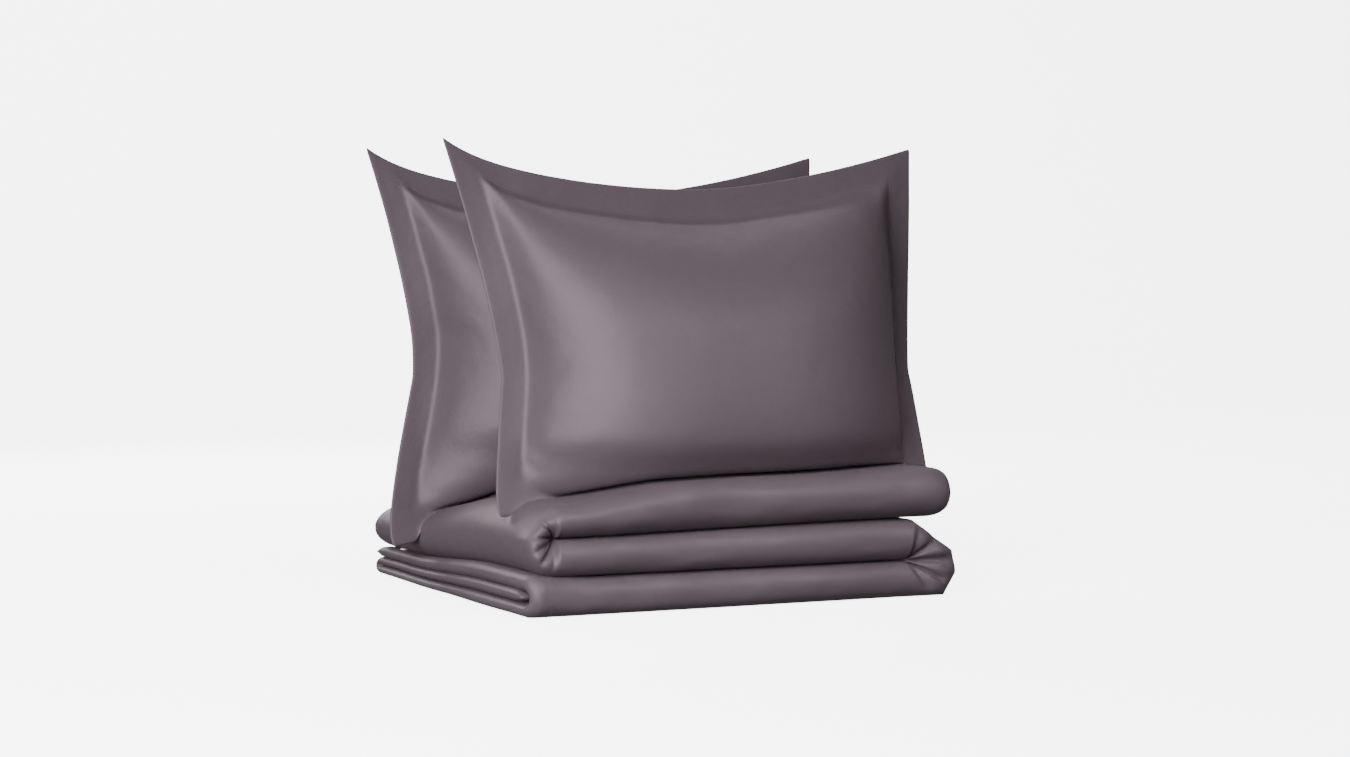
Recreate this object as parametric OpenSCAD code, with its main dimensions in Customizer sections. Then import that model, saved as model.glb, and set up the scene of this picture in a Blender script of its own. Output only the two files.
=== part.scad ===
// Folded duvet in its cover, with two flanged pillows standing on it.
// Millimetres. Origin: centre of the face the folded duvet rests on. +X runs
// along the front, +Y away from the front, +Z up.
//
// The duvet is folded in three across its width, as a letter is: ply A lies
// outside at one face, ply B is the flap turned in over it, and ply C is the
// flap turned over both. That strip is then folded in three along its length,
// as a Z: a bottom, a middle and a top layer joined by a right and a left bend.

/* [Duvet] */
// Width of the duvet laid flat
duvet_w = 2000; // [1600:10:2400]
// Length of the duvet laid flat
duvet_l = 2000; // [1600:10:2400]
// Share of the flat size that the filling takes up
take_up = 0.045; // [0.02:0.005:0.08]
// Thickness of the bottom layer, three plies
bottom_t = 53; // [40:1:80]
// Thickness of the middle layer, three plies
middle_t = 56; // [40:1:80]
// Thickness of the top layer, three plies
top_t = 76; // [50:1:100]
// How far the left bend reaches out from its crease
left_reach = 62; // [50:1:90]
// How far the right bend reaches out from its crease
right_reach = 74; // [50:1:100]
// How far ply B stops short inside the front fold
flap_inset = 12; // [6:1:30]

/* [Cover] */
// Thickness of the cover cloth
cloth_t = 1; // [0.6:0.1:1.4]
// Depth of the hem at the foot opening
hem_w = 30; // [20:1:50]
// Diameter of a closing button
button_d = 11.5; // [9:0.5:16]
// Thickness of a closing button
button_t = 2.2; // [1.6:0.1:3]
// Number of closing buttons on each ply
buttons_per_ply = 3; // [2:1:5]
// Width of an inner corner tie
tie_w = 12; // [8:1:20]

/* [Pillow] */
// Width of a sham laid flat, flange included
sham_w = 800; // [700:10:1000]
// Height of a sham laid flat, flange included
sham_h = 600; // [500:10:700]
// Width of the flange
flange_w = 50; // [30:1:70]
// Thickness of a filled pillow
pillow_t = 285; // [180:5:320]
// Lean of both pillows towards the back
lean = 13; // [0:1:20]
// Height that the rounded underside loses by resting on the duvet
sink = 22; // [5:1:40]
// Gap between the bellies of the two pillows
pillow_gap = 12; // [6:1:60]
// Distance of the rear pillow to the left of the front one
rear_shift = 15; // [0:1:40]
// Overlap of the envelope opening at the back of a sham
envelope = 130; // [80:10:200]

/* [Hidden] */
clear = 0.4;          // between neighbouring layers of cloth and filling
fold_gap = 1.6;       // between neighbouring layers of the folded strip
ply_gap = 0.8;        // between neighbouring plies
ticking_t = 0.8;      // cloth of the duvet insert and of the pillow inserts
baffle_t = 0.8;       // inner wall between two chambers of the insert
seam_t = 3;           // side seam allowance, a flat cord
insert_margin = 24;   // from the hem or head seam to the end of the insert
taper = 90;           // length over which a ply swells from its end seam
arc_steps = 6;        // segments of a fold or a bend
cap_steps = 2;        // segments of the rounded edge of a ply
chambers = 2;         // baffles on each layer
rows = 11;            // pillow facets from its resting face to its top
cols_plain = 9;       // pillow facets across, up to the envelope
cols_lap = 3;         // and across the envelope's overlap
cols_end = 5;         // and beyond it
bulge_power = 2.3;    // fullness of the pillow towards its seams
edge_power = 2.6;     // how late the seam line turns out to a corner
stitch_w = 1.4;       // topstitch thread
stitch_inset = 4;     // topstitch line from the inner edge of the flange

layer_t = [bottom_t, middle_t, top_t];
mean_t = (bottom_t + middle_t + top_t) / 3;

// Fold sizes that use up the flat width and length
front_arc = PI * mean_t / 3;
back_arc = PI * mean_t / 6;
stack_d = (duvet_w * (1 - take_up) - front_arc - back_arc
           + 1.5 * mean_t + 2 * mean_t / 3 + flap_inset) / 3;
foot_out = left_reach - 4;
head_out = right_reach - 16;
bend_arcs = PI * (left_reach + right_reach) / 2;
run = (duvet_l * (1 - take_up) - bend_arcs - foot_out - head_out) / 3;
stack_w = run + left_reach + right_reach;

x_left = -stack_w / 2 + left_reach;
x_right = stack_w / 2 - right_reach;
x_foot = x_left - foot_out;
x_head = x_right + head_out;
z_bottom = -ply_gap / 2;
z_middle = z_bottom + bottom_t + fold_gap;
z_top = z_middle + middle_t + fold_gap;
stack_h = z_top + top_t - ply_gap / 2;

hem_half = button_t / 2 + clear + 2 * cloth_t;

cloth_colour = "#6f626a";
lining_colour = "#5f535b";
white_cloth = "#ece9e4";
filling_colour = "#f6f4ef";
thread_colour = "#7b6e77";
button_colour = "#d9d2cf";

function lerp(a, b, k) = a + (b - a) * k;
function smooth(k) = k * k * (3 - 2 * k);
function reversed(list) = [for (i = [len(list) - 1:-1:0]) list[i]];

// ---- the folded strip -------------------------------------------------------
// A station is [part, place, pinch]. Parts 0, 2 and 4 are the bottom, middle and
// top layers, placed by x. Parts 1 and 3 are the right and left bends, placed by
// angle. pinch is 0 where a ply is full and 1 where its cloths lie together.

function bottom_layer(from, to) = [[0, from, 0], [0, to, 0]];
right_bend = [for (k = [1:arc_steps - 1]) [1, -90 + 180 * k / arc_steps, 0]];
left_bend = [for (k = [1:arc_steps - 1]) [3, 270 - 180 * k / arc_steps, 0]];
folds = concat([[0, x_right, 0]], right_bend, [[2, x_right, 0], [2, x_left, 0]],
               left_bend, [[4, x_left, 0]]);
swell = [[0, 1], [0.2, 0.6], [0.5, 0.2], [1, 0]];
function foot_taper(x) = [for (s = swell) [0, x + s[0] * taper, s[1]]];
function head_taper(x) = [for (s = reversed(swell)) [4, x - s[0] * taper, s[1]]];
function strip_stations(foot, head) = concat(foot_taper(foot), folds, head_taper(head));

function thickness(st) =
    st[0] == 0 ? bottom_t :
    st[0] == 2 ? middle_t :
    st[0] == 4 ? top_t :
    st[0] == 1 ? lerp(bottom_t, middle_t, smooth((st[1] + 90) / 180)) :
    lerp(middle_t, top_t, smooth((270 - st[1]) / 180));

// The section's h runs from the ply A side at 0 to the ply C side at t
function place(st, y, h) =
    let (t = thickness(st))
    st[0] == 0 ? [st[1], y, z_bottom + h] :
    st[0] == 2 ? [st[1], y, z_middle + middle_t - h] :
    st[0] == 4 ? [st[1], y, z_top + h] :
    st[0] == 1 ?
        let (r = fold_gap / 2 + t - h, wide = right_reach / (fold_gap / 2 + t))
        [x_right + wide * r * cos(st[1]), y, z_middle - fold_gap / 2 + r * sin(st[1])] :
    let (r = fold_gap / 2 + h, wide = left_reach / (fold_gap / 2 + t))
    [x_left + wide * r * cos(st[1]), y, z_top - fold_gap / 2 + r * sin(st[1])];

function front_y(t) = -stack_d / 2 + t / 2;
function back_y(t) = stack_d / 2 - t / 3;
function edge_b(t) = front_y(t) + flap_inset;
function edge_c(t) = stack_d / 2 - t / 6 - seam_t;

function arc_points(centre, r, from, to, steps) =
    [for (k = [0:steps]) centre + r * [cos(lerp(from, to, k / steps)),
                                       sin(lerp(from, to, k / steps))]];

// One side of the ply at distance d from its middle: side 1 is the face cloth,
// -1 the reverse. It runs from the free edge of ply C to the free edge of ply B.
function cloth_line(t, d, side) = concat(
    arc_points([edge_c(t), 5 * t / 6], d, 0, side * 90, cap_steps),
    arc_points([front_y(t), t / 2], t / 3 + side * d, 90, 270, arc_steps),
    arc_points([back_y(t), t / 3], t / 6 + side * d, -90, 90, arc_steps),
    arc_points([edge_b(t), t / 2], d, side * 90, side * 180, cap_steps));

function inner_points(list) = [for (i = [1:len(list) - 2]) list[i]];
function cloth_band(t, outer, inner, side) =
    concat(cloth_line(t, outer, side), reversed(cloth_line(t, inner, side)));
function ply_outline(t, d) =
    concat(cloth_line(t, d, 1), reversed(inner_points(cloth_line(t, d, -1))));

function ply_half(t) = t / 6 - ply_gap / 2;
function cover_half(st) = lerp(ply_half(thickness(st)), hem_half, st[2]);
function ticking_half(st) =
    lerp(ply_half(thickness(st)) - cloth_t - clear, 2 * ticking_t + 2 * clear, st[2]);
function fill_half(st) = ticking_half(st) - ticking_t - clear;

// Joins rings of equal length into one closed solid
module sweep(rings, flip = false) {
    n = len(rings[0]);
    m = len(rings);
    sides = [for (j = [0:m - 2], i = [0:n - 1])
             let (a = j * n + i, b = j * n + (i + 1) % n, c = b + n, d = a + n)
             each [[a, b, c], [a, c, d]]];
    caps = [[for (i = [n - 1:-1:0]) i], [for (i = [0:n - 1]) (m - 1) * n + i]];
    all_faces = concat(caps, sides);
    polyhedron([for (ring = rings) each ring],
               flip ? [for (f = all_faces) reversed(f)] : all_faces, convexity = 12);
}

function ring_at(st, outline) = [for (p = outline) place(st, p[0], p[1])];

cover_stations = strip_stations(x_foot + hem_w, x_head);
insert_foot = x_foot + hem_w + insert_margin;
insert_head = x_head - insert_margin;
insert_stations = strip_stations(insert_foot, insert_head);

module cover_panel(side)
    sweep([for (st = cover_stations)
           ring_at(st, cloth_band(thickness(st), cover_half(st), cover_half(st) - cloth_t, side))],
          side > 0);

module duvet_cover_face() color(cloth_colour) cover_panel(1);
module duvet_cover_reverse() color(lining_colour) cover_panel(-1);

// A straight run of one section, from a station along its layer
module straight(st, length, outline)
    translate([st[1], 0, 0]) rotate([90, 0, 90]) linear_extrude(length)
        polygon([for (p = ring_at(st, outline)) [p[1], p[2]]]);

module foot_hem(side)
    straight([0, x_foot, 1], hem_w - clear,
             cloth_band(bottom_t, hem_half, hem_half - 2 * cloth_t, side));

module foot_hem_face() color(cloth_colour) foot_hem(1);
module foot_hem_reverse() color(lining_colour) foot_hem(-1);

module head_seam() color(cloth_colour)
    straight([4, x_head + clear, 1], seam_t, ply_outline(top_t, hem_half - cloth_t));

function seam_outline(y, h, dir) =
    [[y + dir * clear, h - seam_t / 2], [y + dir * (clear + seam_t), h - seam_t / 2],
     [y + dir * (clear + seam_t), h + seam_t / 2], [y + dir * clear, h + seam_t / 2]];

module side_seams() color(thread_colour) {
    sweep([for (st = cover_stations)
           let (t = thickness(st))
           ring_at(st, seam_outline(edge_c(t) + cover_half(st), 5 * t / 6, 1))], true);
    sweep([for (st = cover_stations)
           let (t = thickness(st))
           ring_at(st, seam_outline(edge_b(t) - cover_half(st), t / 2, -1))]);
}

ply_middles = [for (k = [1, 3, 5]) z_bottom + k * bottom_t / 6];

module button()
    difference() {
        cylinder(d = button_d, h = button_t, center = true, $fn = 48);
        for (i = [-1, 1], j = [-1, 1])
            translate([i * button_d / 8, j * button_d / 8, 0])
                cylinder(d = button_d / 8, h = button_t * 2, center = true, $fn = 24);
    }

module closure_buttons() color(button_colour)
    for (h = ply_middles, i = [0:buttons_per_ply - 1])
        translate([x_foot + hem_w / 2,
                   lerp(front_y(bottom_t) + 60, back_y(bottom_t) - 60, i / (buttons_per_ply - 1)), h])
            button();

// Ties that hold the insert in the two corners of the closed end
tie_l = insert_margin - 2 * clear - 4;
module tie(y, z)
    translate([insert_head + clear, y - tie_w / 2, z - cloth_t / 2]) cube([tie_l, tie_w, cloth_t]);

module corner_ties() color(white_cloth) {
    tie(edge_c(top_t) - tie_w, z_top + 5 * top_t / 6);
    tie(edge_b(top_t) + tie_w, z_top + top_t / 2);
}

module insert_ticking(side)
    sweep([for (st = insert_stations)
           ring_at(st, cloth_band(thickness(st), ticking_half(st),
                                  ticking_half(st) - ticking_t, side))], side > 0);

module insert_ticking_face() color(white_cloth) insert_ticking(1);
module insert_ticking_reverse() color(white_cloth) insert_ticking(-1);

// Baffle places: on each layer, from the foot end to the head end
baffle_x = [for (k = [1:chambers]) lerp(x_left, x_right, k / (chambers + 1))];
baffles = concat([for (x = baffle_x) [0, x, 0]], [for (x = reversed(baffle_x)) [2, x, 0]],
                 [for (x = baffle_x) [4, x, 0]]);
half_wall = baffle_t / 2 + clear;
function moved(st, by) = [st[0], st[1] + (st[0] == 2 ? -by : by), 0];

module fill_chamber(stations)
    sweep([for (st = stations) ring_at(st, ply_outline(thickness(st), fill_half(st)))], true);

module insert_fill() color(filling_colour) {
    last = len(baffles) - 1;
    fill_chamber(concat(foot_taper(insert_foot + clear), [moved(baffles[0], -half_wall)]));
    fill_chamber(concat([moved(baffles[last], half_wall)], head_taper(insert_head - clear)));
    for (i = [0:last - 1]) {
        a = moved(baffles[i], half_wall);
        b = moved(baffles[i + 1], -half_wall);
        bend = a[0] == 0 && b[0] == 2 ? concat([[0, x_right, 0]], right_bend, [[2, x_right, 0]]) :
               a[0] == 2 && b[0] == 4 ? concat([[2, x_left, 0]], left_bend, [[4, x_left, 0]]) : [];
        fill_chamber(concat([a], bend, [b]));
    }
}

module insert_baffles() color(white_cloth)
    for (st = baffles)
        straight([st[0], st[1] - baffle_t / 2, 0], baffle_t,
                 ply_outline(thickness(st), fill_half(st)));

// ---- the pillows ------------------------------------------------------------
// Local frame of a pillow: x across, z up from its resting face, y through it.
// a and b run from -1 to 1 across and up the sewn pocket.

pocket_w = sham_w - 2 * flange_w;
pocket_h = sham_h - 2 * flange_w;
function chord(arc) = sqrt(arc * arc - 16 / 3 * pow(pillow_t / 2, 2));
mid_half = chord(pocket_w) / 2 - 6;
corner_half = pocket_w / 2 * 0.925;
mid_top = chord(pocket_h) - sink;
corner_top = pocket_h * 0.85;

function seam_half(b) = lerp(mid_half, corner_half, pow(abs(b), edge_power));
function seam_top(a) = lerp(mid_top, corner_top, pow(abs(a), edge_power));
function bulge(a, b) =
    sqrt((1 - pow(abs(a), bulge_power)) * (1 - pow(abs(b), bulge_power)));
function height(a, b, inset) =
    max(inset, lerp(-sink * (1 - pow(abs(a), 6)), seam_top(a) - inset, (b + 1) / 2));
function pocket_point(a, b, side, inset) =
    [a * (seam_half(b) - inset), side * (pillow_t / 2 - inset) * bulge(a, b), height(a, b, inset)];

// Facet lines, closer together towards the seams, with one on each edge of the
// envelope's overlap and one where the rounded underside meets the resting face
opening_turn = 33;
opening_a = sin(opening_turn);
flap_turn = asin(opening_a - 2 * envelope / pocket_w);
function turns(from, to, n) = [for (k = [0:n - 1]) sin(lerp(from, to, k / n))];
across = concat(turns(-90, flap_turn, cols_plain), turns(flap_turn, opening_turn, cols_lap),
                turns(opening_turn, 90, cols_end), [1]);
rest_turn = asin(-1 + 2 * sink / (max(mid_top, corner_top) + sink));
up = concat([-1], turns(rest_turn, 90, rows), [1]);
last_col = len(across) - 1;
last_row = len(up) - 1;
flap_col = cols_plain;
opening_col = cols_plain + cols_lap;

strip_t = 2 * cloth_t;                       // the two cloths of the flange
pillow_z = stack_h + strip_t + 3 * clear;    // resting face of a pillow
pillow_pitch = pillow_t + pillow_gap;
front_at = [rear_shift / 2, -stack_d / 2 + pillow_t / 2 - 20, pillow_z];
rear_at = [-rear_shift / 2, front_at[1] + pillow_pitch, pillow_z];
function leaning(p, at) = at + [p[0], p[1] + tan(lean) * p[2], p[2]];

function grid(from, to, side, inset, at) =
    [for (j = [0:last_row], i = [from:to])
     leaning(pocket_point(across[i], up[j], side, inset), at)];

function cell(i, j, wide) = j * (wide + 1) + i;
function skin(wide) =
    [for (j = [0:last_row - 1], i = [0:wide - 1])
     each [[cell(i, j, wide), cell(i + 1, j, wide), cell(i + 1, j + 1, wide)],
           [cell(i, j, wide), cell(i + 1, j + 1, wide), cell(i, j + 1, wide)]]];

// A cloth over one side of the pocket, between two facet lines and two insets
module pocket_cloth(from, to, side, outer, inner, at) {
    wide = to - from;
    n = (wide + 1) * (last_row + 1);
    rim = concat([for (i = [0:wide - 1]) cell(i, 0, wide)],
                 [for (j = [0:last_row - 1]) cell(wide, j, wide)],
                 [for (i = [wide:-1:1]) cell(i, last_row, wide)],
                 [for (j = [last_row:-1:1]) cell(0, j, wide)]);
    faces = concat([for (k = [0:len(rim) - 1])
                    let (p = rim[k], q = rim[(k + 1) % len(rim)])
                    each [[q, p, p + n], [q, p + n, q + n]]],
                   skin(wide), [for (f = skin(wide)) [f[2] + n, f[1] + n, f[0] + n]]);
    polyhedron(concat(grid(from, to, side, outer, at), grid(from, to, side, inner, at)),
               side > 0 ? faces : [for (f = faces) reversed(f)], convexity = 6);
}

// Everything inside one inset of the pocket: two skins that share their rim
module pocket_solid(inset, at) {
    n = (last_col + 1) * (last_row + 1);
    function on_rim(k) = let (i = k % (last_col + 1), j = floor(k / (last_col + 1)))
        i == 0 || i == last_col || j == 0 || j == last_row;
    skins = concat([for (f = skin(last_col)) reversed(f)],
                   [for (f = skin(last_col)) [for (k = f) on_rim(k) ? k : k + n]]);
    polyhedron(concat(grid(0, last_col, -1, inset, at), grid(0, last_col, 1, inset, at)),
               [for (f = skins) if (!(on_rim(f[0]) && on_rim(f[1]) && on_rim(f[2]))) f],
               convexity = 6);
}

flap_outer = cloth_t + clear;
ticking_outer = flap_outer + cloth_t + clear;
fill_inset = ticking_outer + ticking_t + 2 * clear;

module sham_face(at) color(cloth_colour) pocket_cloth(0, last_col, -1, 0, cloth_t, at);
module sham_back(at) color(cloth_colour) pocket_cloth(0, opening_col, 1, 0, cloth_t, at);
module sham_flap(at) color(lining_colour)
    pocket_cloth(flap_col, last_col, 1, flap_outer, flap_outer + cloth_t, at);
module pillow_ticking(side, at) color(white_cloth)
    pocket_cloth(0, last_col, side, ticking_outer, ticking_outer + ticking_t, at);
module pillow_fill(at) color(filling_colour) pocket_solid(fill_inset, at);

// The flange round the sides and top, as a list of [inner, outer] points in x, z
side_turn = 0.7;       // the flange turns out of its plane halfway up a side
function flange_reach(b) = flange_w * lerp(side_turn, 1, pow(abs(b), edge_power));
function side_pair(b, s) =
    [[s * (seam_half(b) + clear), height(1, b, 0)],
     [s * (seam_half(b) + flange_reach(b)), height(1, b, 0) + (b > 0.99 ? flange_w : 0)]];
function top_pair(a) =
    [[a * seam_half(1), seam_top(a) + clear],
     [a * (seam_half(1) + flange_w * pow(abs(a), 8)), seam_top(a) + flange_w * 0.92]];
flange_pairs = concat(
    [for (j = [3:last_row]) side_pair(up[j], -1)],
    [for (i = [2:last_col - 2]) top_pair(across[i])],
    [for (j = [last_row:-1:3]) side_pair(up[j], 1)]);

function flange_ring(pair, from, to, near, far, at) =
    let (p = lerp(pair[0], pair[1], from), q = lerp(pair[0], pair[1], to))
    [leaning([p[0], near, p[1]], at), leaning([q[0], near, q[1]], at),
     leaning([q[0], far, q[1]], at), leaning([p[0], far, p[1]], at)];

module sham_flange(at) color(cloth_colour) {
    sweep([for (pair = flange_pairs) flange_ring(pair, 0, 1, -cloth_t, cloth_t, at)]);
    translate([at[0] - seam_half(-1), at[1], at[2] - strip_t - clear])
        cube([2 * seam_half(-1), flange_w, strip_t]);
}

module flange_stitching(at) color(thread_colour)
    sweep([for (pair = flange_pairs)
           flange_ring(pair, stitch_inset / flange_w, (stitch_inset + stitch_w) / flange_w,
                       -cloth_t - clear - stitch_w / 2, -cloth_t - clear / 2, at)]);

module front_sham_face() sham_face(front_at);
module front_sham_back() sham_back(front_at);
module front_sham_flap() sham_flap(front_at);
module front_sham_flange() sham_flange(front_at);
module front_flange_stitching() flange_stitching(front_at);
module front_ticking_face() pillow_ticking(-1, front_at);
module front_ticking_back() pillow_ticking(1, front_at);
module front_pillow_fill() pillow_fill(front_at);

module rear_sham_face() sham_face(rear_at);
module rear_sham_back() sham_back(rear_at);
module rear_sham_flap() sham_flap(rear_at);
module rear_sham_flange() sham_flange(rear_at);
module rear_flange_stitching() flange_stitching(rear_at);
module rear_ticking_face() pillow_ticking(-1, rear_at);
module rear_ticking_back() pillow_ticking(1, rear_at);
module rear_pillow_fill() pillow_fill(rear_at);

duvet_cover_face();
duvet_cover_reverse();
foot_hem_face();
foot_hem_reverse();
head_seam();
side_seams();
closure_buttons();
corner_ties();
insert_ticking_face();
insert_ticking_reverse();
insert_baffles();
insert_fill();
front_sham_face();
front_sham_back();
front_sham_flap();
front_sham_flange();
front_flange_stitching();
front_ticking_face();
front_ticking_back();
front_pillow_fill();
rear_sham_face();
rear_sham_back();
rear_sham_flap();
rear_sham_flange();
rear_flange_stitching();
rear_ticking_face();
rear_ticking_back();
rear_pillow_fill();
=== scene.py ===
"""Folded duvet and two flanged pillows, built as an add-on that is run as a script."""
import math

import bpy
import numpy as np
from bpy.props import FloatProperty, PointerProperty, StringProperty
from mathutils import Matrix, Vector
from mathutils.bvhtree import BVHTree


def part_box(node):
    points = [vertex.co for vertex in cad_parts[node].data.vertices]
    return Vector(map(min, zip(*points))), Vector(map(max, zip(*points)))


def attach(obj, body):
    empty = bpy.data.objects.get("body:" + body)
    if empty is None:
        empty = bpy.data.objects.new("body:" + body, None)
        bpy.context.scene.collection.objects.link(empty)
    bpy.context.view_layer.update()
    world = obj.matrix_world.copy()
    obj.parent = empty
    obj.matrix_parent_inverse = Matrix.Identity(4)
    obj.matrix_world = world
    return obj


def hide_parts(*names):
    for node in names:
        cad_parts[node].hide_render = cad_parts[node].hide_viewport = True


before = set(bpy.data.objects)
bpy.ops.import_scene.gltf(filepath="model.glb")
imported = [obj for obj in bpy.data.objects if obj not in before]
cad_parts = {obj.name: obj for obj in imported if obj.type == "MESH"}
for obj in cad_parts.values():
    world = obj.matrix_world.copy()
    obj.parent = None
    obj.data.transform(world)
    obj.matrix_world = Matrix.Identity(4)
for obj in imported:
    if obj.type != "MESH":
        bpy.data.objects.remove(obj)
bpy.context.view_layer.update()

bl_info = {
    "name": "Folded Duvet and Pillows",
    "version": (1, 0, 0),
    "blender": (4, 5, 0),
    "location": "View3D > Sidebar > Bedding",
    "description": "Builds a folded duvet in its cover, with two flanged pillows standing on it",
    "category": "Object",
}

COVER_LOW, COVER_HIGH = (np.array(c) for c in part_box("duvet_cover_face"))
INSERT_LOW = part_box("insert_ticking_face")[0]
SURFACES = {}    # the finished duvet, which the pillows lie on


# ---- sizes --------------------------------------------------------------------------

def length(name, description, default, low=0.0, high=3.0):
    """A length property in metres."""
    return FloatProperty(name=name, description=description, default=default, min=low, max=high,
                         unit="LENGTH", subtype="DISTANCE", precision=4)


def hex_colour(name, description, default):
    """A colour property, as an sRGB hex value."""
    return StringProperty(name=name, description=description, default=default)


class DuvetSizes(bpy.types.PropertyGroup):
    """How the duvet is folded and stacked."""
    bottom_t: length("Bottom layer", "Thickness of the three plies of the bottom layer", 0.053)
    middle_t: length("Middle layer", "Thickness of the middle layer at its right end", 0.0585)
    middle_t_left: length("Middle layer, left", "Thickness of the middle layer at the left bend", 0.0515)
    top_t: length("Top layer", "Thickness of the top layer at its head end", 0.0735)
    top_t_left: length("Top layer, left", "Thickness of the top layer at the left bend", 0.0675)
    left_reach: length("Left bend", "How far the left bend reaches out from its crease", 0.047)
    right_reach: length("Right bend", "How far the right bend reaches out from its crease", 0.088)
    fold_gap: length("Layer gap", "Gap between two layers", 0.0016)
    ply_gap: length("Ply gap", "Gap between two plies of a layer", 0.0010)
    flap_inset: length("Flap inset", "How far the turned-in flap stops short of the front fold", 0.012)
    foot_round: length("Foot rounding", "Length over which a ply rounds off at the foot end", 0.013)
    head_round: length("Head rounding", "Length over which a ply rounds off at the head end", 0.030)
    sag: FloatProperty(name="Sag", description="Share of its height lost by the stack at the back left",
                       default=0.27, min=0.0, max=0.5, subtype="FACTOR")
    pleat_depth: length("Pleat depth", "Depth of the pleats that gather at a bend", 0.0065)


class PillowSizes(bpy.types.PropertyGroup):
    """A sham laid flat, and how it stands when filled."""
    sham_w: length("Sham width", "Width laid flat, flange included", 0.80)
    sham_h: length("Sham height", "Height laid flat, flange included", 0.60)
    flange_w: length("Flange", "Width of the flange", 0.05)
    thickness: length("Thickness", "Thickness of the filled pillow", 0.283)
    cell: length("Cell", "Size of a cell of the cloth", 0.010, 0.004, 0.03)
    lean: FloatProperty(name="Lean", description="How far the pillow leans back",
                        default=math.radians(13.0), min=0.0, max=0.5, subtype="ANGLE", unit="ROTATION")
    move_cap: length("Cloth movement", "How far the cloth may move while it settles", 0.010)
    stitch: length("Stitch", "Length of one stitch", 0.0028)
    stitch_gap: length("Stitch spacing", "Distance from one stitch to the next", 0.0038)
    thread: length("Thread", "Thickness of the thread", 0.0007)


class ClothColours(bpy.types.PropertyGroup):
    """Colours, as sRGB hex values."""
    sateen: hex_colour("Sateen", "Dyed cotton sateen of the cover and shams", "#50464D")
    thread: hex_colour("Thread", "Sewing thread", "#564C53")
    ticking: hex_colour("Ticking", "Plain cotton of the insert and pillows", "#ECE9E1")
    fibre: hex_colour("Fibre", "Polyester fibre filling", "#F4F2EC")
    button: hex_colour("Button", "Moulded polyester button", "#D9D2CF")
    floor: hex_colour("Floor", "Studio floor", "#FFFFFF")


# ---- small helpers ------------------------------------------------------------------

def lerp(a, b, k):
    """a where k is 0, b where k is 1."""
    return a + (b - a) * k


def smooth(k):
    """Eases k from 0 to 1, and holds it there."""
    k = np.clip(k, 0.0, 1.0)
    return k * k * (3 - 2 * k)


def between(value, low, high):
    """0 below low, 1 above high, and smooth in between."""
    return smooth((np.asarray(value, float) - low) / (high - low))


def lattice(ix, iy, iz):
    """One repeatable pseudo-random number for each corner of a grid."""
    n = (ix * 73856093) ^ (iy * 19349663) ^ (iz * 83492791)
    n = (n ^ (n >> 13)) * 1274126177 & 0x7FFFFFFF
    return ((n ^ (n >> 16)) & 0xFFFF) / 32767.5 - 1.0


def ripple(points, size, seed=0):
    """Smooth noise from -1 to 1 whose bumps are about size metres across."""
    q = np.asarray(points, float) / size + seed * 17.31
    base = np.floor(q).astype(np.int64)
    f = q - base
    f = f * f * (3 - 2 * f)
    out = 0.0
    for dx in (0, 1):
        for dy in (0, 1):
            for dz in (0, 1):
                w = (np.where(dx, f[..., 0], 1 - f[..., 0]) * np.where(dy, f[..., 1], 1 - f[..., 1])
                     * np.where(dz, f[..., 2], 1 - f[..., 2]))
                out = out + w * lattice(base[..., 0] + dx, base[..., 1] + dy, base[..., 2] + dz)
    return out


def piece_from(name, points, faces, material, body):
    """A mesh object with its place in its mesh, riding on a body."""
    mesh = bpy.data.meshes.new(name)
    mesh.from_pydata(np.asarray(points, float).tolist(), [], faces)
    mesh.validate()
    mesh.polygons.foreach_set("use_smooth", [True] * len(mesh.polygons))
    mesh.materials.append(material)
    mesh.update()
    piece = bpy.data.objects.new(name, mesh)
    bpy.context.scene.collection.objects.link(piece)
    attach(piece, body)
    return piece


def vertex_values(mesh, name):
    """The places ("co") or the normals ("normal") of a mesh's vertices, one row each."""
    values = np.empty(len(mesh.vertices) * 3)
    mesh.vertices.foreach_get(name, values)
    return values.reshape(-1, 3)


def slab_faces(rows, cols):
    """Quads over two grids of points, one behind the other, closed round their rim."""
    n = rows * cols
    quads = []
    for j in range(rows - 1):
        for i in range(cols - 1):
            k = j * cols + i
            q = (k, k + 1, k + cols + 1, k + cols)
            quads += [q, tuple(n + m for m in reversed(q))]
    last_row, last_col = (rows - 1) * cols, cols - 1
    rim = list(range(cols - 1))
    rim += [j * cols + last_col for j in range(rows - 1)]
    rim += [last_row + i for i in range(last_col, 0, -1)]
    rim += [j * cols for j in range(rows - 1, 0, -1)]
    return quads + [(q, p, p + n, q + n) for p, q in zip(rim, rim[1:] + rim[:1])]


def apply_modifiers(piece):
    """Turns the piece's modifiers into plain mesh."""
    graph = bpy.context.evaluated_depsgraph_get()
    mesh = bpy.data.meshes.new_from_object(piece.evaluated_get(graph), depsgraph=graph)
    old = piece.data
    piece.modifiers.clear()
    piece.data = mesh
    bpy.data.meshes.remove(old)
    mesh.polygons.foreach_set("use_smooth", [True] * len(mesh.polygons))
    mesh.name = piece.name


def refine(piece):
    """One level of subdivision, applied."""
    finer = piece.modifiers.new("Finer cloth", "SUBSURF")
    finer.levels = finer.render_levels = 1
    apply_modifiers(piece)


# ---- materials ----------------------------------------------------------------------

def linear(colour):
    """sRGB hex to linear RGBA."""
    rgb = [int(colour[i:i + 2], 16) / 255 for i in (1, 3, 5)]
    return tuple(c / 12.92 if c <= 0.04045 else ((c + 0.055) / 1.055) ** 2.4 for c in rgb) + (1.0,)


def shade(colour, factor):
    """The same hue, lighter or darker."""
    r, g, b, a = linear(colour)
    return (r * factor, g * factor, b * factor, a)


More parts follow.
